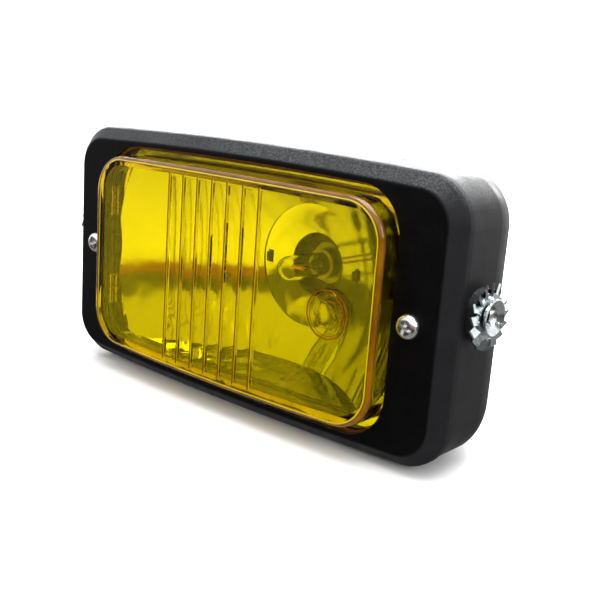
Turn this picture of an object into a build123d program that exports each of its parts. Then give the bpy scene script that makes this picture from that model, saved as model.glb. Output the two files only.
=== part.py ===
from build123d import *
from math import cos, sin, pi, radians, sqrt
import os

os.makedirs("parts", exist_ok=True)

# ---------------------------------------------------------------- dimensions
# Rectangular front fog lamp.  Front faces -Y, +Z is up.  "Depth" is measured
# backwards (+Y) from the flat front face of the bezel.
YF = -37.85           # y of the bezel's front face
ZC = 47.2             # z of the lamp's optical axis

BEZ_W, BEZ_H, BEZ_R = 89.6, 47.2, 15.5      # half sizes and corner radius
BOW = 2.3             # bow of the top and bottom edges at mid width
BEZ_D = 7.2           # depth of the bezel
BEVEL = 4.4           # bevel around the front face
BEZ_T = 1.4           # wall of the front face

OPN_W, OPN_H, OPN_R = 68.9, 41.1, 15.5     # opening for the glass

LENS_W, LENS_H, LENS_R = 68.4, 37.6, 14.5   # glass bowl at its flange
LENS_FRONT = -8.3     # depth of the glass front at the middle
LENS_CROWN = 1361.0   # crown radius of the front, in plan
GLASS_T = 3.2
RIM_R = 2.2
FL_W, FL_H, FL_R = 71.4, 42.2, 16.5         # flange of glass and reflector
FL_FRONT, FL_BACK = 1.8, 4.8

FLUTE = 7.25          # pitch of the moulded flutes
FLUTE_X0 = -25.3      # first ridge
FLUTE_N = 6
FLUTE_H = 33.0        # half height of the flutes
MARK_X, MARK_Z, MARK_R = 49.4, -1.1, 7.75   # moulded roundel

HOU_W, HOU_H, HOU_R = 89.1, 46.7, 15.0      # rear shell at the seam
HOU_T = 2.6
HOU_FRONT, HOU_BACK = 7.5, 74.0

FOCAL, APEX = 26.4, 49.4                   # paraboloid
REF_T = 1.2
HOLE_R = 12.4
RING_R = 23.8

SEAT = 55.2           # depth of the bulb's seating plane
SCREW_X = 75.4
PIV_D, PIV_Z = 15.8, 4.6                    # pivot: depth and height over axis
BUSH_R, BORE_R = 4.0, 2.55
BOSS_R, BOSS_X = 8.25, 91.9
WASH_RI, WASH_RO, WASH_T = 4.08, 10.3, 0.8


def front(d, x=0.0, z=0.0):
    """Plane facing the front at depth d: local x = +X, local y = +Z."""
    return Plane(origin=(x, YF + d, ZC + z), x_dir=(1, 0, 0), z_dir=(0, -1, 0))


def plan(x=0.0, z=0.0):
    """Horizontal plane: local x = +X, local y = depth."""
    return Plane(origin=(x, YF, ZC + z), x_dir=(1, 0, 0), z_dir=(0, 0, 1))


def y_axis(x=0.0, z=0.0):
    return Axis((x, YF, ZC + z), (0, 1, 0))


def bowed(w, h, r, bow=BOW):
    """Rounded rectangle with bowed top and bottom, half sizes w and h."""
    e = h - bow * (w / BEZ_W) ** 2
    with BuildLine() as ln:
        ThreePointArc((-w, e), (0, h), (w, e))
        Line((w, e), (w, -e))
        ThreePointArc((w, -e), (0, -h), (-w, -e))
        Line((-w, -e), (-w, e))
    face = make_face(ln.edges(), mode=Mode.PRIVATE).face()
    add(face.fillet_2d(r, face.vertices()))


def paraboloid_y(r, off=0.0):
    return APEX + off - r * r / (4 * FOCAL)


# ---------------------------------------------------------------- front bezel
with BuildPart() as bezel_core:
    with BuildSketch(front(BEZ_D + 1)) as s:
        bowed(87.2, 44.8, 13.1)
    extrude(amount=BEZ_D + 1 - BEZ_T)
    chamfer(bezel_core.faces().sort_by(Axis.Y)[0].edges(), 2.3)

with BuildPart() as front_bezel:
    with BuildSketch(front(BEZ_D)) as s:
        bowed(BEZ_W, BEZ_H, BEZ_R)
    extrude(amount=BEZ_D)
    chamfer(front_bezel.faces().sort_by(Axis.Y)[0].edges(), BEVEL)
    fillet(front_bezel.edges().filter_by_position(Axis.Y, YF + BEVEL - 0.05, YF + BEVEL + 0.05), 2.2)
    fillet(front_bezel.faces().sort_by(Axis.Y)[0].edges(), 1.6)
    add(bezel_core.part, mode=Mode.SUBTRACT)
    # sleeves around the two fixing screws
    with BuildSketch(front(6.9)) as s:
        with Locations((SCREW_X, 0), (-SCREW_X, 0)):
            Circle(3.9)
    extrude(amount=6.0)
    # snap hooks that hold the glass and reflector in the bezel
    for sx in (-1, 1):
        for sz in (-1, 1):
            with BuildSketch(Plane(origin=(sx * 40, YF, ZC), x_dir=(0, 1, 0), z_dir=(1, 0, 0))) as s:
                with BuildLine() as ln:
                    Polyline((1.0, sz * 42.0), (1.0, sz * 43.1), (9.1, sz * 43.1), (9.1, sz * 42.1),
                             (8.4, sz * 41.0), (7.7, sz * 41.0), (7.7, sz * 42.0), close=True)
                make_face()
            extrude(amount=5, both=True)
    with BuildSketch(front(-1)) as s:
        bowed(OPN_W, OPN_H, OPN_R)
    extrude(amount=-6, mode=Mode.SUBTRACT)
    with BuildSketch(front(-1)) as s:
        with Locations((SCREW_X, 0), (-SCREW_X, 0)):
            Circle(2.25)
    extrude(amount=-9, mode=Mode.SUBTRACT)
front_bezel.part.label = "front_bezel"
export_step(front_bezel.part, "parts/front_bezel.step")

# ---------------------------------------------------------------- glass
with BuildPart() as crown:
    with BuildSketch(plan(z=-60)) as s:
        with BuildLine() as ln:
            ym = LENS_FRONT
            ye = LENS_FRONT + 90.0 ** 2 / (2 * LENS_CROWN)
            ThreePointArc((-90, ye), (0, ym), (90, ye))
            Polyline((90, ye), (90, 30), (-90, 30), (-90, ye))
        make_face()
    extrude(amount=120)

with BuildPart() as crown_in:
    with BuildSketch(plan(z=-60)) as s:
        with BuildLine() as ln:
            ym = LENS_FRONT + GLASS_T
            ye = ym + 90.0 ** 2 / (2 * LENS_CROWN)
            ThreePointArc((-90, ye), (0, ym), (90, ye))
            Polyline((90, ye), (90, 30), (-90, 30), (-90, ye))
        make_face()
    extrude(amount=120)

# hollow of the glass, with shallow convex flutes and a sharp rib at each joint left on its front wall
with BuildPart() as glass_hollow:
    with BuildSketch(front(FL_BACK + 0.5)) as s:
        bowed(LENS_W - GLASS_T - 0.3, LENS_H - GLASS_T - 0.3, LENS_R - GLASS_T - 0.3)
    extrude(amount=24, taper=1.5)
    add(crown_in.part, mode=Mode.INTERSECT)
    with BuildSketch(plan(z=-FLUTE_H)) as s:
        for i in range(FLUTE_N):
            xa, xb = FLUTE_X0 + i * FLUTE, FLUTE_X0 + (i + 1) * FLUTE
            y0 = LENS_FRONT + GLASS_T - 1.0
            with BuildLine() as ln:
                Polyline((xa, y0 + 1.3), (xa, y0), (xb, y0), (xb, y0 + 1.3))
                ThreePointArc((xb, y0 + 1.3), ((xa + xb) / 2, y0 + 1.65), (xa, y0 + 1.3))
            make_face()
        for i in range(FLUTE_N + 1):
            xr = FLUTE_X0 + i * FLUTE
            with BuildLine() as ln:
                Polyline((xr - 0.62, y0), (xr - 0.55, y0 + 1.3), (xr, y0 + 2.25), (xr + 0.55, y0 + 1.3),
                         (xr + 0.62, y0), close=True)
            make_face()
    extrude(amount=2 * FLUTE_H, mode=Mode.SUBTRACT)

with BuildPart() as lens:
    with BuildSketch(front(FL_BACK)) as s:
        bowed(LENS_W, LENS_H, LENS_R)
    extrude(amount=24, taper=1.5)
    add(crown.part, mode=Mode.INTERSECT)
    fillet(lens.faces().sort_by(Axis.Y)[0].edges(), RIM_R)
    with BuildSketch(front(FL_BACK)) as s:
        bowed(FL_W, FL_H, FL_R)
    extrude(amount=FL_BACK - FL_FRONT)
    add(glass_hollow.part, mode=Mode.SUBTRACT)
    # raised roundel with a plain hexagon
    yr = LENS_FRONT + MARK_X ** 2 / (2 * LENS_CROWN)
    with BuildSketch(front(yr + 0.5, MARK_X, MARK_Z)) as s:
        Circle(MARK_R)
        Circle(MARK_R - 0.7, mode=Mode.SUBTRACT)
        RegularPolygon(4.6, 6)
        RegularPolygon(3.9, 6, mode=Mode.SUBTRACT)
    extrude(amount=0.85)
lens.part.label = "lens"
export_step(lens.part, "parts/lens.step")


def ring_solid(d0, d1, wo, ho, ro, wi, hi, ri):
    with BuildSketch(front(d1)) as a:
        bowed(wo, ho, ro)
    extrude(a.sketch, amount=d1 - d0)
    with BuildSketch(front(d1)) as b:
        bowed(wi, hi, ri)
    extrude(b.sketch, amount=d1 - d0, mode=Mode.SUBTRACT)


CLIP_Z, CLIP_L = 18.0, 12.0

# rubber ring between the bezel and the glass, notched for the spring clips
with BuildPart() as lens_gasket:
    ring_solid(BEZ_T, FL_FRONT, 71.2, 42.0, 16.4, OPN_W + 0.25, OPN_H + 0.15, OPN_R)
    for sx in (-1, 1):
        for sz in (-1, 1):
            with Locations((sx * 72.6, YF + 1.6, ZC + sz * CLIP_Z)):
                Box(5.4, 2, CLIP_L + 1, mode=Mode.SUBTRACT)
lens_gasket.part.label = "lens_gasket"
export_step(lens_gasket.part, "parts/lens_gasket.step")

with BuildPart() as reflector_gasket:
    ring_solid(FL_BACK, FL_BACK + 1.4, 71.2, 42.0, 16.4, 69.3, 41.2, 15.4)
reflector_gasket.part.label = "reflector_gasket"
export_step(reflector_gasket.part, "parts/reflector_gasket.step")

# ---------------------------------------------------------------- reflector
RFL = FL_BACK + 1.4                     # front of the reflector's flange


def dish(off, r_max, ring):
    """Half section of the solid under the paraboloid, out to r_max."""
    n = 14
    pts = []
    for i in range(n + 1):
        r = RING_R + (r_max - RING_R) * i / n
        pts.append((r, paraboloid_y(r, off)))
    with BuildLine() as ln:
        Spline(*pts)
        Line(pts[0], (RING_R, pts[0][1] + ring))
        yr0 = pts[0][1] + ring
        yc = paraboloid_y(0, off) + ring * 0.6
        Spline((RING_R, yr0), (RING_R * 0.55, paraboloid_y(RING_R * 0.55, off) + ring * 0.8), (0, yc),
               tangents=[(-1, 0.30), (-1, 0)])
        Polyline((0, yc), (0, pts[-1][1]), pts[-1])
    make_face(ln.edges())


with BuildPart() as dish_outer:
    with BuildSketch(plan()) as s:
        dish(REF_T, 90, 0.8)
    revolve(axis=y_axis())
with BuildPart() as dish_inner:
    with BuildSketch(plan()) as s:
        dish(0.0, 90, 0.8)
    revolve(axis=y_axis())

with BuildPart() as bowl_outer:
    with BuildSketch(front(RFL)) as s:
        bowed(67.9, 37.9, 13.5)
    extrude(amount=-50)
    add(dish_outer.part, mode=Mode.INTERSECT)
with BuildPart() as bowl_inner:
    with BuildSketch(front(RFL - 1)) as s:
        bowed(66.7, 36.7, 12.3)
    extrude(amount=-50)
    add(dish_inner.part, mode=Mode.INTERSECT)

with BuildPart() as reflector:
    add(bowl_outer.part)
    with BuildSketch(front(RFL + 1.2)) as s:
        bowed(FL_W, FL_H, FL_R)
    extrude(amount=1.2)
    add(bowl_inner.part, mode=Mode.SUBTRACT)
    with BuildSketch(front(60)) as s:
        Circle(HOLE_R)
        with Locations((21.4, 0), (-21.4, 0)):
            Rectangle(2.0, 5.0)
    extrude(amount=30, mode=Mode.SUBTRACT)
reflector.part.label = "reflector"
export_step(reflector.part, "parts/reflector.step")

# spring clips that pinch glass, rubber ring and reflector together
with BuildPart() as lens_clips:
    for sx in (-1, 1):
        for sz in (-1, 1):
            with BuildSketch(plan(z=sz * CLIP_Z - CLIP_L / 2)) as s:
                with BuildLine() as ln:
                    Polyline((sx * 70.1, 1.43), (sx * 72.1, 1.43), (sx * 72.1, 8.15), (sx * 69.0, 8.15),
                             (sx * 69.0, 7.7), (sx * 71.6, 7.7), (sx * 71.6, 1.8), (sx * 70.1, 1.8), close=True)
                make_face()
            extrude(amount=CLIP_L)
lens_clips.part.label = "lens_clips"
export_step(lens_clips.part, "parts/lens_clips.step")

# ---------------------------------------------------------------- bulb holder
back_ring = paraboloid_y(HOLE_R, REF_T) + 0.8       # back of the dish at the hole
with BuildPart() as bulb_holder:
    with BuildSketch(plan()) as s:
        with BuildLine() as ln:
            # dished plate, neck and inward seat
            Polyline((HOLE_R + 0.1, back_ring + 0.5), (22.6, paraboloid_y(22.6, REF_T) + 1.5),
                     (22.6, paraboloid_y(22.6, REF_T) + 2.3), (HOLE_R + 0.9, back_ring + 1.3),
                     (HOLE_R + 0.9, SEAT), (8.2, SEAT), (8.2, SEAT - 0.9), (HOLE_R + 0.1, SEAT - 0.9), close=True)
        make_face()
    revolve(axis=y_axis())
    # two ears bent through the reflector's slots
    for sx in (-1, 1):
        with Locations((sx * 21.4, YF + 46.0, ZC)):
            Box(1.0, 5.0, 3.6)
    # two lugs for the wire clip's pivot, and the catch opposite
    for sz in (-1, 1):
        with Locations((-17.0, YF + 53.6, ZC + sz * 10.6)):
            Box(3.4, 11.4, 1.2)
    with Locations((18.9, YF + 53.5, ZC)):
        Box(1.0, 10.8, 6.0)
    with Locations((18.2, YF + 58.6, ZC)):
        Box(1.1, 0.6, 6.0)
    with BuildSketch(Plane(origin=(-17.0, YF + 57.35, ZC), x_dir=(1, 0, 0), z_dir=(0, 0, 1))) as s:
        Circle(0.72)
    extrude(amount=14, both=True, mode=Mode.SUBTRACT)
bulb_holder.part.label = "bulb_holder"
export_step(bulb_holder.part, "parts/bulb_holder.step")

# wire clip over the back of the bulb, turning on the two lugs
with BuildPart() as bulb_clip:
    with BuildLine() as ln:
        FilletPolyline((-17.0, YF + 57.35, ZC + 11.6), (-17.0, YF + 57.35, ZC + 8.3), (16.6, YF + 57.35, ZC + 8.3),
                       (16.6, YF + 57.35, ZC - 8.3), (-17.0, YF + 57.35, ZC - 8.3), (-17.0, YF + 57.35, ZC - 11.6),
                       radius=1.6)
    with BuildSketch(Plane(origin=(-17.0, YF + 57.35, ZC + 11.6), z_dir=(0, 0, -1))) as s:
        Circle(0.65)
    sweep(path=ln.line)
bulb_clip.part.label = "bulb_clip"
export_step(bulb_clip.part, "parts/bulb_clip.step")

# ---------------------------------------------------------------- bulb
with BuildPart() as bulb_base:
    with BuildSketch(plan()) as s:
        with BuildLine() as ln:
            Polyline((4.6, 50.6), (6.0, 50.6), (6.0, SEAT), (10.9, SEAT), (10.9, SEAT + 1.2), (6.8, SEAT + 1.2),
                     (6.8, SEAT + 6.8), (5.1, SEAT + 6.8), (5.1, SEAT - 0.6), (4.6, SEAT - 0.6), close=True)
        make_face()
    revolve(axis=y_axis())
bulb_base.part.label = "bulb_base"
export_step(bulb_base.part, "parts/bulb_base.step")

with BuildPart() as bulb_glass:
    with BuildSketch(plan()) as s:
        with BuildLine() as ln:
            Line((0, 27.6), (0, 28.7))
            Spline((0, 28.7), (2.6, 29.9), (3.9, 33.0), tangents=[(1, 0), (0, 1)])
            Polyline((3.9, 33.0), (3.9, 46.0), (3.0, 48.0), (0, 48.0), (0, 54.2), (4.5, 54.2), (4.5, 49.0), (4.8, 46.5), (4.8, 33.0))
            Spline((4.8, 33.0), (3.3, 29.0), (0, 27.6), tangents=[(0, -1), (-1, 0)])
        make_face()
    revolve(axis=y_axis())
bulb_glass.part.label = "bulb_glass"
export_step(bulb_glass.part, "parts/bulb_glass.step")

# coiled filament across the axis on its two supports
with BuildPart() as bulb_filament:
    with BuildSketch(Plane(origin=(-2.6, YF + 37.2, ZC), z_dir=(1, 0, 0))) as s:
        Circle(0.75)
    extrude(amount=5.2)
    for sx in (-1, 1):
        with BuildSketch(front(47.95, sx * 2.2)) as s:
            Circle(0.3)
        extrude(amount=10.9)
bulb_filament.part.label = "bulb_filament"
export_step(bulb_filament.part, "parts/bulb_filament.step")

with BuildPart() as bulb_insulator:
    with BuildSketch(front(SEAT + 3.0)) as s:
        Circle(5.0)
    extrude(amount=-11.2)
    fillet(bulb_insulator.faces().sort_by(Axis.Y)[-1].edges(), 1.0)
bulb_insulator.part.label = "bulb_insulator"
export_step(bulb_insulator.part, "parts/bulb_insulator.step")

# ---------------------------------------------------------------- inner leads
LEAD_D = 2.2
TERM_X, TERM_Z = 8.0, -24.0
LD = 66.8


def lead(pts, radii, d):
    with BuildLine() as ln:
        FilletPolyline(*[(x, YF + y, ZC + z) for x, y, z in pts], radius=radii)
    with BuildSketch(Plane(origin=ln.line @ 0, z_dir=ln.line % 0)) as s:
        Circle(d / 2)
    sweep(s.sketch, path=ln.line)


with BuildPart() as live_lead:
    lead([(0, LD, -5.0), (0, LD, -10.0), (TERM_X, 65.6, -14.5), (TERM_X, 65.6, -19.2)], [3.0, 3.0], LEAD_D)
live_lead.part.label = "live_lead"
export_step(live_lead.part, "parts/live_lead.step")

with BuildPart() as earth_lead:
    lead([(-11.5, 50.4, -13.2), (-11.5, 60.5, -13.2), (-TERM_X, 65.6, -14.6), (-TERM_X, 65.6, -19.2)], [3.0, 2.4], LEAD_D)
earth_lead.part.label = "earth_lead"
export_step(earth_lead.part, "parts/earth_lead.step")

# flag receptacles in coloured sleeves, pushed on the inner ends of the blades
for side, nm in ((1, "live_receptacle"), (-1, "earth_receptacle")):
    with BuildPart() as receptacle:
        with Locations((side * TERM_X, YF + 64.1, ZC + TERM_Z)):
            Box(9.6, 9.8, 4.6)
        fillet(receptacle.edges().filter_by(Axis.Y), 1.4)
        with BuildSketch(Plane(origin=(side * TERM_X, YF + 65.6, ZC + TERM_Z + 1.5), z_dir=(0, 0, 1))) as s:
            Circle(1.9)
        extrude(amount=3.3)
        with Locations((side * TERM_X, YF + 66.5, ZC + TERM_Z)):
            Box(7.0, 9.0, 1.5, mode=Mode.SUBTRACT)
    receptacle.part.label = nm
    export_step(receptacle.part, "parts/" + nm + ".step")

# ---------------------------------------------------------------- rear shell
STRAIGHT = 24.0       # the sides run straight back to this depth, then round in
BACK_W, BACK_H = 50.5, 28.4


def shell_sections(shrink, back_d):
    """Outlines of the tapering back, from the straight part to the back wall."""
    faces = []
    for t in (0.0, 0.12, 0.24, 0.37, 0.5, 0.63, 0.76, 0.88, 1.0):
        u = min(1.0, t + (0.03 * t if shrink else 0))
        w = HOU_W - (HOU_W - BACK_W) * u ** 1.6 - shrink
        h = HOU_H - (HOU_H - BACK_H) * u ** 2.6 - shrink
        with BuildSketch(front(STRAIGHT + (back_d - STRAIGHT) * t)) as s:
            bowed(w, h, HOU_R + 6.0 * t - shrink * 0.9)
        faces.append(s.sketch)
    return faces


with BuildPart() as shell_inner:
    with BuildSketch(front(STRAIGHT)) as s:
        bowed(HOU_W - HOU_T, HOU_H - HOU_T, HOU_R - HOU_T * 0.9)
    extrude(amount=STRAIGHT - HOU_FRONT + 1.0)
    loft(shell_sections(HOU_T, HOU_BACK - HOU_T))

with BuildPart() as seal_groove:
    ring_solid(HOU_FRONT - 0.5, HOU_FRONT + 1.2, 88.3, 45.9, 14.2, 87.3, 44.9, 13.2)

with BuildPart() as rear_housing:
    with BuildSketch(front(STRAIGHT)) as s:
        bowed(HOU_W, HOU_H, HOU_R)
    extrude(amount=STRAIGHT - HOU_FRONT)
    loft(shell_sections(0.0, HOU_BACK))
    fillet(rear_housing.faces().sort_by(Axis.Y)[-1].edges(), 4.0)
    # round pivot bosses on the two sides
    for sx in (-1, 1):
        with BuildSketch(Plane(origin=(sx * (HOU_W - 2.0), YF + PIV_D, ZC + PIV_Z), z_dir=(sx, 0, 0))) as s:
            Circle(BOSS_R)
        extrude(amount=BOSS_X - HOU_W + 2.0)
    add(shell_inner.part, mode=Mode.SUBTRACT)
    # screw bosses inside, each tied to the side wall by a rib
    with BuildSketch(front(9.3)) as s:
        with Locations((SCREW_X, 0), (-SCREW_X, 0)):
            Circle(5.0)
    extrude(amount=-24)
    for sx in (-1, 1):
        with Locations((sx * 81.5, YF + 21.3, ZC - 3.8)):
            Box(11.0, 24.0, 2.2)
    with BuildSketch(front(9.0)) as s:
        with Locations((SCREW_X, 0), (-SCREW_X, 0)):
            Circle(3.02)
    extrude(amount=-10.6, mode=Mode.SUBTRACT)
    with BuildSketch(front(9.0)) as s:
        with Locations((SCREW_X, 0), (-SCREW_X, 0)):
            Circle(2.4)
    extrude(amount=-20, mode=Mode.SUBTRACT)
    add(seal_groove.part, mode=Mode.SUBTRACT)
    # pivot holes
    for sx in (-1, 1):
        with BuildSketch(Plane(origin=(sx * 80.5, YF + PIV_D, ZC + PIV_Z), z_dir=(sx, 0, 0))) as s:
            Circle(BUSH_R + 0.02)
        extrude(amount=20, mode=Mode.SUBTRACT)
    # slot for the terminal block and hole for the breather, in the back
    with BuildSketch(front(HOU_BACK + 2)) as s:
        with Locations((0, TERM_Z)):
            Rectangle(27.0, 6.6)
        with Locations((-34.0, 6.0)):
            Circle(3.0)
    extrude(amount=8, mode=Mode.SUBTRACT)
rear_housing.part.label = "rear_housing"
export_step(rear_housing.part, "parts/rear_housing.step")

with BuildPart() as housing_seal:
    ring_solid(HOU_FRONT, HOU_FRONT + 1.15, 88.26, 45.86, 14.16, 87.34, 44.94, 13.24)
housing_seal.part.label = "housing_seal"
export_step(housing_seal.part, "parts/housing_seal.step")

# ---------------------------------------------------------------- terminals
with BuildPart() as terminal_block:
    with Locations((0, YF + HOU_BACK - 1.3, ZC + TERM_Z)):
        Box(26.9, 3.0, 6.5)
    with Locations((0, YF + HOU_BACK + 1.7, ZC + TERM_Z)):
        Box(31.0, 3.0, 9.6)
    fillet(terminal_block.faces().sort_by(Axis.Y)[-1].edges(), 0.8)
    for sx in (-1, 1):
        with Locations((sx * TERM_X, YF + HOU_BACK, ZC + TERM_Z)):
            Box(6.34, 12, 0.84, mode=Mode.SUBTRACT)
terminal_block.part.label = "terminal_block"
export_step(terminal_block.part, "parts/terminal_block.step")

for side, nm in ((1, "live_blade"), (-1, "earth_blade")):
    with BuildPart() as blade:
        with BuildSketch(Plane(origin=(side * TERM_X, YF, ZC + TERM_Z), x_dir=(1, 0, 0), z_dir=(0, 0, 1))) as s:
            with Locations((0, (64.6 + 84.0) / 2)):
                Rectangle(6.3, 84.0 - 64.6)
            with Locations((0, 80.4)):
                Circle(0.8, mode=Mode.SUBTRACT)
        extrude(amount=0.4, both=True)
        chamfer(blade.faces().sort_by(Axis.Y)[-1].edges().filter_by(Axis.Z), 1.0)
    blade.part.label = nm
    export_step(blade.part, "parts/" + nm + ".step")

with BuildPart() as breather:
    with BuildSketch(plan(x=-34.0, z=6.0)) as s:
        with BuildLine() as ln:
            Polyline((1.1, HOU_BACK - 4.0), (2.9, HOU_BACK - 4.0), (2.95, HOU_BACK + 0.02), (5.4, HOU_BACK + 0.02),
                     (5.4, HOU_BACK + 1.4), (4.4, HOU_BACK + 2.8), (2.6, HOU_BACK + 3.4), (1.1, HOU_BACK + 3.4), close=True)
        make_face()
    revolve(axis=y_axis(-34.0, 6.0))
breather.part.label = "breather"
export_step(breather.part, "parts/breather.step")

# ---------------------------------------------------------------- fixing screws
for side, nm in ((-1, "bezel_screw_left"), (1, "bezel_screw_right")):
    with BuildPart() as screw:
        with BuildSketch(plan(x=side * SCREW_X)) as s:
            with BuildLine() as ln:
                Line((0, -2.55), (1.6, -2.5))
                ThreePointArc((1.6, -2.5), (3.45, -1.75), (4.0, -0.6))
                Polyline((4.0, -0.6), (4.0, -0.05), (1.96, -0.05), (1.96, 20.4), (1.2, 21.4), (0, 21.4), (0, -2.55))
            make_face()
        revolve(axis=y_axis(side * SCREW_X))
        for a in (20 * side, 20 * side + 90):
            with Locations(Location((side * SCREW_X, YF - 2.2, ZC), (0, a, 0))):
                Box(4.9, 3.2, 1.1, mode=Mode.SUBTRACT)
    screw.part.label = nm
    export_step(screw.part, "parts/" + nm + ".step")

with BuildPart() as screw_inserts:
    for sx in (-1, 1):
        with BuildSketch(front(9.5, sx * SCREW_X)) as s:
            Circle(3.0)
            Circle(2.04, mode=Mode.SUBTRACT)
        extrude(amount=-10.0)
screw_inserts.part.label = "screw_inserts"
export_step(screw_inserts.part, "parts/screw_inserts.step")

# ---------------------------------------------------------------- pivots
PX = (0.0, YF + PIV_D, ZC + PIV_Z)
with BuildPart() as pivot_bush_right:
    with BuildSketch(Plane(origin=PX, x_dir=(1, 0, 0), z_dir=(0, -1, 0))) as s:
        with BuildLine() as ln:
            Polyline((82.0, BORE_R), (82.0, BUSH_R), (93.7, BUSH_R), (94.1, 5.2), (94.6, 5.9), (94.9, 5.9),
                     (95.0, 5.4), (94.4, 4.5), (93.6, 3.35), (91.6, BORE_R), close=True)
        make_face()
    revolve(axis=Axis(PX, (1, 0, 0)))
pivot_bush_right.part.label = "pivot_bush_right"
export_step(pivot_bush_right.part, "parts/pivot_bush_right.step")

with BuildPart() as pivot_bush_left:
    mirror(pivot_bush_right.part, about=Plane.YZ)
pivot_bush_left.part.label = "pivot_bush_left"
export_step(pivot_bush_left.part, "parts/pivot_bush_left.step")

with BuildPart() as pivot_nuts:
    for sx in (-1, 1):
        with BuildSketch(Plane(origin=(sx * 82.9, YF + PIV_D, ZC + PIV_Z), z_dir=(sx, 0, 0))) as s:
            RegularPolygon(6.3, 6)
            Circle(BUSH_R + 0.02, mode=Mode.SUBTRACT)
        extrude(amount=3.15)
pivot_nuts.part.label = "pivot_nuts"
export_step(pivot_nuts.part, "parts/pivot_nuts.step")

WASH_X = BOSS_X + 1.1
with BuildPart(Plane(origin=(WASH_X, YF + PIV_D, ZC + PIV_Z), z_dir=(1, 0, 0))) as toothed_washer_right:
    with BuildSketch(Plane(origin=(WASH_X - 0.4, YF + PIV_D, ZC + PIV_Z), z_dir=(1, 0, 0))) as s:
        Circle(7.3)
        Circle(WASH_RI, mode=Mode.SUBTRACT)
    extrude(amount=WASH_T)
    with PolarLocations(8.5, 16):
        Box(3.6, 2.65, 0.6, rotation=(26, 0, 0))
toothed_washer_right.part.label = "toothed_washer_right"
export_step(toothed_washer_right.part, "parts/toothed_washer_right.step")

with BuildPart() as toothed_washer_left:
    mirror(toothed_washer_right.part, about=Plane.YZ)
toothed_washer_left.part.label = "toothed_washer_left"
export_step(toothed_washer_left.part, "parts/toothed_washer_left.step")
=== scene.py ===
import bpy, bmesh, math
from mathutils import Vector, Matrix, Euler


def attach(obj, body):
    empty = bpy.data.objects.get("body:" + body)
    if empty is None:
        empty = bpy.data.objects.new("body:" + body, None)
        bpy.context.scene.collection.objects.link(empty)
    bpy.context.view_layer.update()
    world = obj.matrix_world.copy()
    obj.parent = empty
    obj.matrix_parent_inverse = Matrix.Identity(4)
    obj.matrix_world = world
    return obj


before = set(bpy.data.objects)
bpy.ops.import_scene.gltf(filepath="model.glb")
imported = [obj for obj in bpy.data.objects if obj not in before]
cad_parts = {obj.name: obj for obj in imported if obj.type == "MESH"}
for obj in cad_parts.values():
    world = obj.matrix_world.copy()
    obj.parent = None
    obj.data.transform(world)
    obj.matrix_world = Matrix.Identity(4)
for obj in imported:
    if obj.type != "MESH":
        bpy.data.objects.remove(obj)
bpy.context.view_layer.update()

# ------------------------------------------------------------------ camera
YF, ZC = -0.03785, 0.0472            # bezel's front face and optical axis, from the CAD frame
scene = bpy.context.scene
cam_data = bpy.data.cameras.new("camera")
cam = bpy.data.objects.new("camera", cam_data)
scene.collection.objects.link(cam)
cam.location = (0.21982, -0.25985, 0.11610)
cam.rotation_euler = (math.radians(76.4554), math.radians(-4.0639), math.radians(41.1325))
cam_data.lens = 54.96
cam_data.sensor_width = 36.0
cam_data.clip_start = 0.01
cam_data.clip_end = 50
scene.camera = cam
scene.view_settings.view_transform = "Standard"


# ------------------------------------------------------------------ material helpers
def new_mat(name):
    m = bpy.data.materials.new(name)
    m.use_nodes = True
    nt = m.node_tree
    b = nt.nodes["Principled BSDF"]
    return m, nt, b


def coords(nt, scale=1.0):
    tc = nt.nodes.new("ShaderNodeTexCoord")
    mp = nt.nodes.new("ShaderNodeMapping")
    s = scale if hasattr(scale, "__len__") else (scale, scale, scale)
    mp.inputs["Scale"].default_value = s
    nt.links.new(tc.outputs["Object"], mp.inputs["Vector"])
    return mp.outputs["Vector"]


def noise(nt, vec, scale, detail=4.0, rough=0.55):
    n = nt.nodes.new("ShaderNodeTexNoise")
    n.inputs["Scale"].default_value = scale
    n.inputs["Detail"].default_value = detail
    n.inputs["Roughness"].default_value = rough
    nt.links.new(vec, n.inputs["Vector"])
    return n.outputs["Fac"]


def ramp(nt, fac, stops):
    r = nt.nodes.new("ShaderNodeValToRGB")
    e = r.color_ramp.elements
    while len(e) > 1:
        e.remove(e[-1])
    e[0].position = stops[0][0]
    e[0].color = tuple(stops[0][1]) + (1,)
    for p, c in stops[1:]:
        k = e.new(p)
        k.color = tuple(c) + (1,)
    nt.links.new(fac, r.inputs["Fac"])
    return r.outputs["Color"]


def bump(nt, height, strength, distance, normal=None):
    b = nt.nodes.new("ShaderNodeBump")
    b.inputs["Strength"].default_value = strength
    b.inputs["Distance"].default_value = distance
    nt.links.new(height, b.inputs["Height"])
    if normal is not None:
        nt.links.new(normal, b.inputs["Normal"])
    return b.outputs["Normal"]


def math_node(nt, op, a, b=None, clamp=False):
    n = nt.nodes.new("ShaderNodeMath")
    n.operation = op
    n.use_clamp = clamp
    for i, v in enumerate((a, b)):
        if v is None:
            continue
        if isinstance(v, (int, float)):
            n.inputs[i].default_value = v
        else:
            nt.links.new(v, n.inputs[i])
    return n.outputs[0]


def mix_col(nt, fac, a, b, mode="MIX"):
    n = nt.nodes.new("ShaderNodeMix")
    n.data_type = "RGBA"
    n.blend_type = mode
    if isinstance(fac, (int, float)):
        n.inputs[0].default_value = fac
    else:
        nt.links.new(fac, n.inputs[0])
    for i, v in ((6, a), (7, b)):
        if isinstance(v, (tuple, list)):
            n.inputs[i].default_value = tuple(v) + (1,)
        else:
            nt.links.new(v, n.inputs[i])
    return n.outputs[2]


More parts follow.
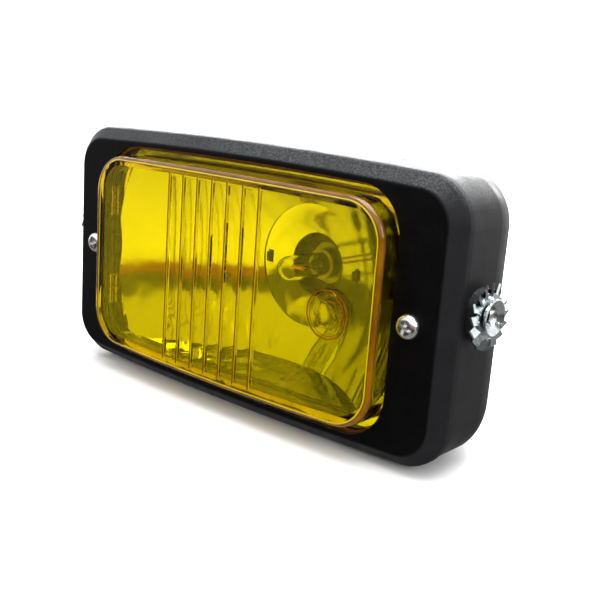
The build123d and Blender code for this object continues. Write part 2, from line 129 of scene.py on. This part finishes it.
# ------------------------------------------------------------------ materials
def plastic(name, face, side_lit, rough, grain, spec=0.5, gloss_var=0.08):
    """Moulded black plastic: fine grain, faint flow marks and dust; painted shade darkens its front face and painted
    light lifts its sides, and the dust on upward faces also stands in for a painted sheen.
    """
    m, nt, b = new_mat(name)
    v = coords(nt)
    geo = nt.nodes.new("ShaderNodeNewGeometry")
    sep = nt.nodes.new("ShaderNodeSeparateXYZ")
    nt.links.new(geo.outputs["True Normal"], sep.inputs[0])
    # painted shade and light: faces turned to the front get the near-black face colour, the others the lighter side
    # colour
    f = math_node(nt, "MULTIPLY", sep.outputs["Y"], -1.0)
    f = ramp(nt, f, [(0.80, (0, 0, 0)), (0.985, (1, 1, 1))])
    cloud = noise(nt, v, 60, 5)
    fine = noise(nt, v, 900, 3)
    c0 = ramp(nt, cloud, [(0.3, side_lit), (0.75, tuple(x * 1.45 for x in side_lit))])
    c1 = ramp(nt, fine, [(0.3, face), (0.8, tuple(x * 1.8 for x in face))])
    facing_shade_col = mix_col(nt, f, c0, c1)
    # dust specks on upward faces, lighter towards the top, also standing in for a painted sheen on the top faces
    up = ramp(nt, sep.outputs["Z"], [(0.35, (0, 0, 0)), (0.95, (1, 1, 1))])
    specks = ramp(nt, noise(nt, v, 1500, 3, 0.7), [(0.42, (0.15, 0.15, 0.15)), (0.62, (1, 1, 1))])
    patch = ramp(nt, noise(nt, v, 35, 3), [(0.3, (0.45, 0.45, 0.45)), (0.7, (1, 1, 1))])
    dust_and_sheen_mask = math_node(nt, "MULTIPLY", math_node(nt, "MULTIPLY", up, specks), patch)
    nt.links.new(mix_col(nt, dust_and_sheen_mask, facing_shade_col, (0.115, 0.118, 0.122)), b.inputs["Base Color"])
    r = nt.nodes.new("ShaderNodeMapRange")
    r.inputs["From Min"].default_value = 0.3
    r.inputs["From Max"].default_value = 0.7
    r.inputs["To Min"].default_value = rough - gloss_var
    r.inputs["To Max"].default_value = rough + gloss_var
    nt.links.new(noise(nt, v, 140, 6), r.inputs["Value"])
    nt.links.new(r.outputs["Result"], b.inputs["Roughness"])
    b.inputs["Specular IOR Level"].default_value = spec
    h1 = noise(nt, v, 2600, 2)
    n1 = bump(nt, h1, grain, 0.00006)
    n2 = bump(nt, noise(nt, v, 45, 2), 0.25, 0.0006, n1)
    nt.links.new(n2, b.inputs["Normal"])
    return m


M = {}
M["bezel"] = plastic("bezel_black", (0.0008, 0.0008, 0.0011), (0.0075, 0.0078, 0.0090), 0.46, 0.9, 0.14)
M["shell"] = plastic("shell_black", (0.0075, 0.0075, 0.0080), (0.0080, 0.0082, 0.0088), 0.40, 0.6, 0.20)

# pressed yellow glass, dyed through, so that long paths in its rim turn amber
m, nt, b = new_mat("yellow_glass")
v = coords(nt)
tint = ramp(nt, noise(nt, v, 18, 3), [(0.2, (0.985, 0.955, 0.035)), (0.8, (0.99, 0.965, 0.05))])
nt.links.new(tint, b.inputs["Base Color"])
b.inputs["Transmission Weight"].default_value = 1.0
b.inputs["IOR"].default_value = 1.5
r = nt.nodes.new("ShaderNodeMapRange")
r.inputs["To Min"].default_value = 0.0
r.inputs["To Max"].default_value = 0.03
nt.links.new(noise(nt, v, 40, 4), r.inputs["Value"])
nt.links.new(r.outputs["Result"], b.inputs["Roughness"])
nt.links.new(bump(nt, noise(nt, v, 38, 1), 0.04, 0.0006), b.inputs["Normal"])
va = nt.nodes.new("ShaderNodeVolumeAbsorption")
va.inputs["Color"].default_value = (0.992, 0.935, 0.0, 1)
va.inputs["Density"].default_value = 430.0
nt.links.new(va.outputs["Volume"], nt.nodes["Material Output"].inputs["Volume"])
M["lens"] = m

# aluminised reflector, with the slow ripple of a pressed dish
m, nt, b = new_mat("reflector_mirror")
v = coords(nt)
b.inputs["Metallic"].default_value = 1.0
nt.links.new(ramp(nt, noise(nt, v, 30, 3), [(0.2, (0.50, 0.50, 0.45)), (0.8, (0.58, 0.58, 0.53))]), b.inputs["Base Color"])
r = nt.nodes.new("ShaderNodeMapRange")
r.inputs["To Min"].default_value = 0.05
r.inputs["To Max"].default_value = 0.16
nt.links.new(noise(nt, v, 70, 4), r.inputs["Value"])
nt.links.new(r.outputs["Result"], b.inputs["Roughness"])
n1 = bump(nt, noise(nt, v, 26, 1), 0.30, 0.002)
n2 = bump(nt, noise(nt, v, 160, 2), 0.08, 0.0004, n1)
# the lower half is pressed less evenly: upright ripples that fade out towards the axis
sx = nt.nodes.new("ShaderNodeSeparateXYZ")
nt.links.new(v, sx.inputs[0])
low = nt.nodes.new("ShaderNodeMapRange")
low.interpolation_type = "SMOOTHSTEP"
low.inputs["From Min"].default_value = ZC - 0.006
low.inputs["From Max"].default_value = ZC - 0.020
nt.links.new(sx.outputs["Z"], low.inputs["Value"])
wv = nt.nodes.new("ShaderNodeTexNoise")
wv.inputs["Scale"].default_value = 1.0
wv.inputs["Detail"].default_value = 1.0
wv.inputs["Distortion"].default_value = 0.6
nt.links.new(coords(nt, (85, 60, 30)), wv.inputs["Vector"])
rip = math_node(nt, "MULTIPLY", math_node(nt, "SUBTRACT", wv.outputs["Fac"], 0.5), low.outputs["Result"])
n2 = bump(nt, rip, 0.55, 0.0030, n2)
nt.links.new(n2, b.inputs["Normal"])
M["reflector"] = m


def metal(name, lo, hi, rmin, rmax, scale=(300, 300, 300), bstr=0.15):
    m, nt, b = new_mat(name)
    v = coords(nt, scale)
    b.inputs["Metallic"].default_value = 1.0
    n = noise(nt, v, 3, 4)
    nt.links.new(ramp(nt, n, [(0.25, lo), (0.75, hi)]), b.inputs["Base Color"])
    r = nt.nodes.new("ShaderNodeMapRange")
    r.inputs["To Min"].default_value = rmin
    r.inputs["To Max"].default_value = rmax
    nt.links.new(noise(nt, v, 1.2, 5), r.inputs["Value"])
    nt.links.new(r.outputs["Result"], b.inputs["Roughness"])
    nt.links.new(bump(nt, noise(nt, v, 4, 3), bstr, 0.0001), b.inputs["Normal"])
    return m


M["zinc"] = metal("zinc_plate", (0.56, 0.62, 0.63), (0.90, 0.93, 0.94), 0.08, 0.22, bstr=0.35)
M["chrome"] = metal("screw_chrome", (0.82, 0.81, 0.79), (0.97, 0.96, 0.94), 0.14, 0.30)
M["spring"] = metal("spring_steel", (0.50, 0.50, 0.50), (0.66, 0.66, 0.67), 0.18, 0.36)
# near-black holder and darkened bulb base: blackened metal that also stands in for painted shade inside the lamp's hole
M["holder"] = metal("holder_steel", (0.035, 0.033, 0.030), (0.07, 0.068, 0.062), 0.40, 0.6)
M["nickel"] = metal("bulb_nickel_painted_shade", (0.16, 0.145, 0.12), (0.26, 0.24, 0.20), 0.30, 0.45)
M["tungsten"] = metal("tungsten_wire", (0.70, 0.26, 0.05), (0.92, 0.42, 0.10), 0.3, 0.5)
M["brass"] = metal("brass", (0.68, 0.48, 0.20), (0.85, 0.64, 0.32), 0.16, 0.34)


def dull(name, lo, hi, rmin, rmax, scale=200, bstr=0.3, dist=0.0001, trans=0.0, sub=0.0):
    m, nt, b = new_mat(name)
    v = coords(nt)
    nt.links.new(ramp(nt, noise(nt, v, scale, 5), [(0.25, lo), (0.75, hi)]), b.inputs["Base Color"])
    r = nt.nodes.new("ShaderNodeMapRange")
    r.inputs["To Min"].default_value = rmin
    r.inputs["To Max"].default_value = rmax
    nt.links.new(noise(nt, v, scale * 0.6, 4), r.inputs["Value"])
    nt.links.new(r.outputs["Result"], b.inputs["Roughness"])
    nt.links.new(bump(nt, noise(nt, v, scale * 5, 3), bstr, dist), b.inputs["Normal"])
    b.inputs["Transmission Weight"].default_value = trans
    b.inputs["Subsurface Weight"].default_value = sub
    b.inputs["Subsurface Radius"].default_value = (0.002, 0.001, 0.0005)
    return m


M["rubber"] = dull("black_rubber", (0.012, 0.012, 0.012), (0.026, 0.026, 0.026), 0.55, 0.8)
M["ceramic"] = dull("steatite", (0.74, 0.71, 0.64), (0.84, 0.81, 0.75), 0.45, 0.7)
M["red"] = dull("lead_red_pvc", (0.50, 0.045, 0.02), (0.62, 0.07, 0.03), 0.25, 0.45)
M["brown"] = dull("lead_brown_pvc", (0.13, 0.05, 0.02), (0.19, 0.08, 0.035), 0.25, 0.45)
M["orange"] = dull("sleeve_orange", (0.85, 0.24, 0.015), (0.95, 0.33, 0.03), 0.2, 0.4)
M["block"] = dull("block_phenolic", (0.02, 0.018, 0.016), (0.04, 0.036, 0.032), 0.35, 0.6)

m, nt, b = new_mat("bulb_clear_glass")
v = coords(nt)
nt.links.new(ramp(nt, noise(nt, v, 90, 2), [(0.3, (0.97, 0.98, 0.98)), (0.7, (1.0, 1.0, 1.0))]), b.inputs["Base Color"])
b.inputs["Transmission Weight"].default_value = 1.0
b.inputs["IOR"].default_value = 1.14
b.inputs["Roughness"].default_value = 0.01
nt.links.new(bump(nt, noise(nt, v, 220, 2), 0.08, 0.0003), b.inputs["Normal"])
M["bulbglass"] = m

USE = {
    "front_bezel": "bezel", "rear_housing": "shell", "lens": "lens", "reflector": "reflector",
    "lens_gasket": "rubber", "reflector_gasket": "rubber", "housing_seal": "rubber", "breather": "rubber",
    "lens_clips": "spring", "bulb_clip": "spring", "bulb_holder": "holder", "bulb_base": "nickel",
    "bulb_glass": "bulbglass", "bulb_filament": "tungsten", "bulb_insulator": "ceramic",
    "live_lead": "red", "earth_lead": "brown", "live_receptacle": "orange", "earth_receptacle": "orange",
    "terminal_block": "block", "live_blade": "brass", "earth_blade": "brass", "screw_inserts": "brass",
    "bezel_screw_left": "chrome", "bezel_screw_right": "chrome",
    "pivot_bush_left": "zinc", "pivot_bush_right": "zinc", "pivot_nuts": "zinc",
    "toothed_washer_left": "zinc", "toothed_washer_right": "zinc",
}
for n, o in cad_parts.items():
    o.data.materials.clear()
    o.data.materials.append(M[USE[n]])

# ------------------------------------------------------------------ edge light in the glass
# Light trapped in the pressed glass shows as amber where its faces meet: along the flute joints, the
# roundel, the turned rim and the flange's edge.  Each is a thin insert just under the glass's surface.
LF, CROWN = -8.3, 1361.0             # depth of the glass front at the middle, crown radius, mm


def amber(name, lo, hi, emit=0.0):
    m, nt, b = new_mat(name)
    v = coords(nt)
    c = ramp(nt, noise(nt, v, 70, 4), [(0.25, lo), (0.75, hi)])
    nt.links.new(c, b.inputs["Base Color"])
    b.inputs["Roughness"].default_value = 0.4
    b.inputs["Specular IOR Level"].default_value = 0.1
    nt.links.new(bump(nt, noise(nt, v, 300, 3), 0.2, 0.0001), b.inputs["Normal"])
    return m


M["amber_line"] = amber("glass_joint_amber", (0.34, 0.10, 0.003), (0.52, 0.17, 0.006))
M["amber_rim"] = amber("glass_rim_amber", (0.15, 0.048, 0.002), (0.46, 0.20, 0.008))
# painted highlights: yellow glints beside the flute joints and along the inside of the rim, as thin inserts
M["edge_highlight"] = amber("glass_edge_painted_highlight", (0.92, 0.86, 0.03), (1.0, 0.95, 0.06))


def P(x, d, z):
    """Point at x, depth behind the bezel's face and height over the axis, all in mm."""
    return Vector((x / 1000, YF + d / 1000, ZC + z / 1000))


def skin(x):
    return LF + x * x / (2 * CROWN)


def add_piece(name, bm, mat, body, smooth=True):
    bmesh.ops.recalc_face_normals(bm, faces=bm.faces)
    me = bpy.data.meshes.new(name)
    bm.to_mesh(me)
    bm.free()
    for p in me.polygons:
        p.use_smooth = smooth
    o = bpy.data.objects.new(name, me)
    scene.collection.objects.link(o)
    me.materials.append(M[mat])
    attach(o, body)
    return o


def bar(bm, pts, wid, thk, closed=False):
    """Flat bar along pts (x, z), width in the face, set thk deep, each point at its own depth."""
    n = len(pts)
    rings = []
    for i in range(n):
        a = pts[i - 1] if (i or closed) else pts[0]
        c = pts[(i + 1) % n] if (i < n - 1 or closed) else pts[-1]
        t = Vector((c[0] - a[0], c[1] - a[1])).normalized()
        q = Vector((-t.y, t.x)) * wid / 2
        x, z, d = pts[i]
        rings.append([bm.verts.new(P(x + sg * q.x, d + dd, z + sg * q.y)) for sg, dd in ((1, 0), (1, thk), (-1, thk), (-1, 0))])
    m_ = n if closed else n - 1
    for i in range(m_):
        a, c = rings[i], rings[(i + 1) % n]
        for k in range(4):
            bm.faces.new((a[k], a[(k + 1) % 4], c[(k + 1) % 4], c[k]))
    if not closed:
        bm.faces.new(rings[0])
        bm.faces.new(rings[-1])


def rrect(w, h, r, n=14, bow=0.0):
    """Rounded rectangle outline, half sizes, with the bow of the top and bottom edges."""
    pts = []
    for cx, cz, a0 in ((w - r, h - r, 0), (-(w - r), h - r, 90), (-(w - r), -(h - r), 180), (w - r, -(h - r), 270)):
        for k in range(n + 1):
            a = math.radians(a0 + 90 * k / n)
            pts.append((cx + r * math.cos(a), cz + r * math.sin(a)))
        if a0 in (0, 180):
            x0 = cx
            for k in range(1, 24):
                x = x0 - 2 * x0 * k / 24
                pts.append((x, math.copysign(h, cz)))
    out = []
    for x, z in pts:
        e = bow * (1 - min(1.0, abs(x) / w) ** 2)
        out.append((x, z + math.copysign(e * min(1.0, abs(z) / (h - r)), z)))
    return out


bm = bmesh.new()
bm2 = bmesh.new()
for i in range(7):
    x = -25.3 + 7.25 * i
    zs = [-34.3 + 68.6 * k / 12 for k in range(13)]
    bar(bm, [(x, z, skin(x) + 1.25) for z in zs], 0.42, 0.3)
    bar(bm2, [(x + 0.62, z, skin(x) + 1.3) for z in zs], 0.22, 0.15)
add_piece("flute_joint_lines", bm, "amber_line", "front_unit")
add_piece("flute_edge_lights", bm2, "edge_highlight", "front_unit")

bm = bmesh.new()
cx, cz = 49.4, -1.1
for rad, wid in ((7.75, 0.32), (6.75, 0.2)):
    pts = []
    for k in range(48):
        a = math.tau * k / 48
        x = cx + rad * math.cos(a)
        pts.append((x, cz + rad * math.sin(a), skin(x) + 0.9))
    bar(bm, pts, wid, 0.25, True)
pts = []
for k in range(6):
    a = math.tau * k / 6
    x = cx + 5.0 * math.cos(a)
    pts.append((x, cz + 5.0 * math.sin(a), skin(x) + 0.9))
bar(bm, pts, 0.24, 0.25, True)
add_piece("roundel_lines", bm, "amber_line", "front_unit")

BOWL = 0.75                          # share of the bezel's bow that the glass follows
def loft_ring(sections, closed_back=True):
    """Ring through outlines (w, h, r, depth under the crowned front)."""
    bm = bmesh.new()
    loops = []
    for w, h, r, dd, crowned in sections:
        loops.append([bm.verts.new(P(x, (skin(x) if crowned else 0) + dd, z)) for x, z in rrect(w, h, r, bow=BOWL)])
    n = len(loops[0])
    m_ = len(loops) if closed_back else len(loops) - 1
    for j in range(m_):
        a, c = loops[j], loops[(j + 1) % len(loops)]
        for i in range(n):
            bm.faces.new((a[i], a[(i + 1) % n], c[(i + 1) % n], c[i]))
    return bm


bm = loft_ring([(65.9, 35.1, 12.3, 1.0, True), (66.5, 35.7, 12.9, 1.12, True), (66.95, 36.15, 13.3, 1.6, True),
                (67.15, 36.35, 13.4, 2.3, True), (67.0, 36.2, 13.3, 2.3, True), (66.8, 36.0, 13.1, 1.75, True),
                (66.45, 35.65, 12.9, 1.32, True), (65.9, 35.1, 12.3, 1.2, True)])
add_piece("rim_amber_band", bm, "amber_rim", "front_unit")
bm = loft_ring([(65.55, 34.75, 12.0, 0.9, True), (65.85, 35.05, 12.2, 0.9, True), (65.85, 35.05, 12.2, 1.1, True), (65.55, 34.75, 12.0, 1.1, True)])
add_piece("rim_edge_light", bm, "edge_highlight", "front_unit")
bm = loft_ring([(68.2, 39.0, 14.0, 2.6, False), (69.0, 41.1, 15.5, 2.6, False), (69.0, 41.1, 15.5, 2.9, False), (68.2, 39.0, 14.0, 2.9, False)])
add_piece("flange_amber_edge", bm, "amber_rim", "front_unit")

# ------------------------------------------------------------------ stage
def floor_mesh():
    bm = bmesh.new()
    n = 48
    rows = []
    for r in (0.05, 0.2, 0.5, 1.0):
        rows.append([bm.verts.new((r * math.cos(math.tau * k / n), r * math.sin(math.tau * k / n), 0.0)) for k in range(n)])
    bm.faces.new(rows[0])
    for a, b2 in zip(rows, rows[1:]):
        for k in range(n):
            bm.faces.new((a[k], b2[k], b2[(k + 1) % n], a[(k + 1) % n]))
    me = bpy.data.meshes.new("floor")
    bm.to_mesh(me)
    bm.free()
    return me


floor = bpy.data.objects.new("floor", floor_mesh())
scene.collection.objects.link(floor)
m, nt, b = new_mat("floor_white")
v = coords(nt)
nt.links.new(ramp(nt, noise(nt, v, 3, 2), [(0.2, (0.965, 0.965, 0.96)), (0.8, (0.975, 0.975, 0.97))]), b.inputs["Base Color"])
b.inputs["Roughness"].default_value = 0.55
b.inputs["Specular IOR Level"].default_value = 0.25
floor.data.materials.append(m)
floor.visible_glossy = False

world = bpy.data.worlds.new("studio")
scene.world = world
world.use_nodes = True
wt = world.node_tree
bg = wt.nodes["Background"]
bg.inputs[0].default_value = (1.0, 1.0, 1.0, 1)
bg.inputs[1].default_value = 1.0
# the room in front is unlit up to a little over the horizon, seen in reflections only
tc = wt.nodes.new("ShaderNodeTexCoord")
sz = wt.nodes.new("ShaderNodeSeparateXYZ")
wt.links.new(tc.outputs["Generated"], sz.inputs[0])


def wmath(op, a, b=None):
    n = wt.nodes.new("ShaderNodeMath")
    n.operation = op
    for k, v in enumerate((a, b)):
        if v is None:
            continue
        if isinstance(v, (int, float)):
            n.inputs[k].default_value = v
        else:
            wt.links.new(v, n.inputs[k])
    return n.outputs[0]


def wrange(val, f0, f1, t0, t1):
    n = wt.nodes.new("ShaderNodeMapRange")
    n.interpolation_type = "SMOOTHSTEP"
    n.inputs["From Min"].default_value = f0
    n.inputs["From Max"].default_value = f1
    n.inputs["To Min"].default_value = t0
    n.inputs["To Max"].default_value = t1
    wt.links.new(val, n.inputs["Value"])
    return n.outputs["Result"]


def near(az, el, r0, r1):
    """1 within r0 degrees of a direction, 0 beyond r1; azimuth from -Y towards +X."""
    n = wt.nodes.new("ShaderNodeVectorMath")
    n.operation = "DOT_PRODUCT"
    a, e = math.radians(az), math.radians(el)
    n.inputs[1].default_value = (math.sin(a) * math.cos(e), -math.cos(a) * math.cos(e), math.sin(e))
    wt.links.new(tc.outputs["Generated"], n.inputs[0])
    return wrange(n.outputs["Value"], math.cos(math.radians(r1)), math.cos(math.radians(r0)), 0.0, 1.0)


front = wmath("MAXIMUM", near(-32, -6, 26, 40), near(26, 0, 30, 42))
low_sky = wrange(sz.outputs["Z"], 0.19, 0.28, 1.0, 0.0)
dark = wmath("MULTIPLY", wmath("MULTIPLY", front, low_sky), 0.87)
screen = wmath("MULTIPLY", near(92, 6, 18, 32), 0.90)
under = wmath("MULTIPLY", wrange(sz.outputs["Z"], -0.30, -0.02, 1.0, 0.0), 0.78)
glow = wmath("MULTIPLY", wmath("SUBTRACT", 1.0, dark), wmath("MULTIPLY", wmath("SUBTRACT", 1.0, screen), wmath("SUBTRACT", 1.0, under)))
glow = wmath("MULTIPLY", glow, 1.15)
lp = wt.nodes.new("ShaderNodeLightPath")
wt.links.new(wmath("MAXIMUM", glow, lp.outputs["Is Camera Ray"]), bg.inputs[1])
# the far edge of the table, a brown line along the horizon
edge = wmath("MULTIPLY", wrange(sz.outputs["Z"], -0.055, -0.035, 0.0, 1.0), wrange(sz.outputs["Z"], 0.045, 0.085, 1.0, 0.0))
edge = wmath("MULTIPLY", edge, near(30, 0, 24, 34))
edge = wmath("MULTIPLY", edge, wmath("SUBTRACT", 1.0, lp.outputs["Is Camera Ray"]))
bg2 = wt.nodes.new("ShaderNodeBackground")
bg2.inputs[0].default_value = (0.58, 0.19, 0.05, 1)
ms = wt.nodes.new("ShaderNodeMixShader")
wt.links.new(edge, ms.inputs[0])
wt.links.new(bg.outputs[0], ms.inputs[1])
wt.links.new(bg2.outputs[0], ms.inputs[2])
wt.links.new(ms.outputs[0], wt.nodes["World Output"].inputs["Surface"])


def area(name, loc, target, size, power, size_y=None):
    d = bpy.data.lights.new(name, "AREA")
    d.shape = "RECTANGLE"
    d.size = size
    d.size_y = size_y or size
    d.energy = power
    o = bpy.data.objects.new(name, d)
    scene.collection.objects.link(o)
    o.location = loc
    o.rotation_euler = (Vector(target) - Vector(loc)).to_track_quat("-Z", "Y").to_euler()
    return o


area("key_top", (0.05, 0.05, 0.9), (0, 0, 0.05), 0.9, 11.0, 0.7)
area("fill_right", (1.0, -0.25, 0.55), (0, 0, 0.05), 0.5, 3.0)
area("rim_back", (-0.40, 0.70, 0.40), (0, 0, 0.09), 1.3, 9.0, 0.25)
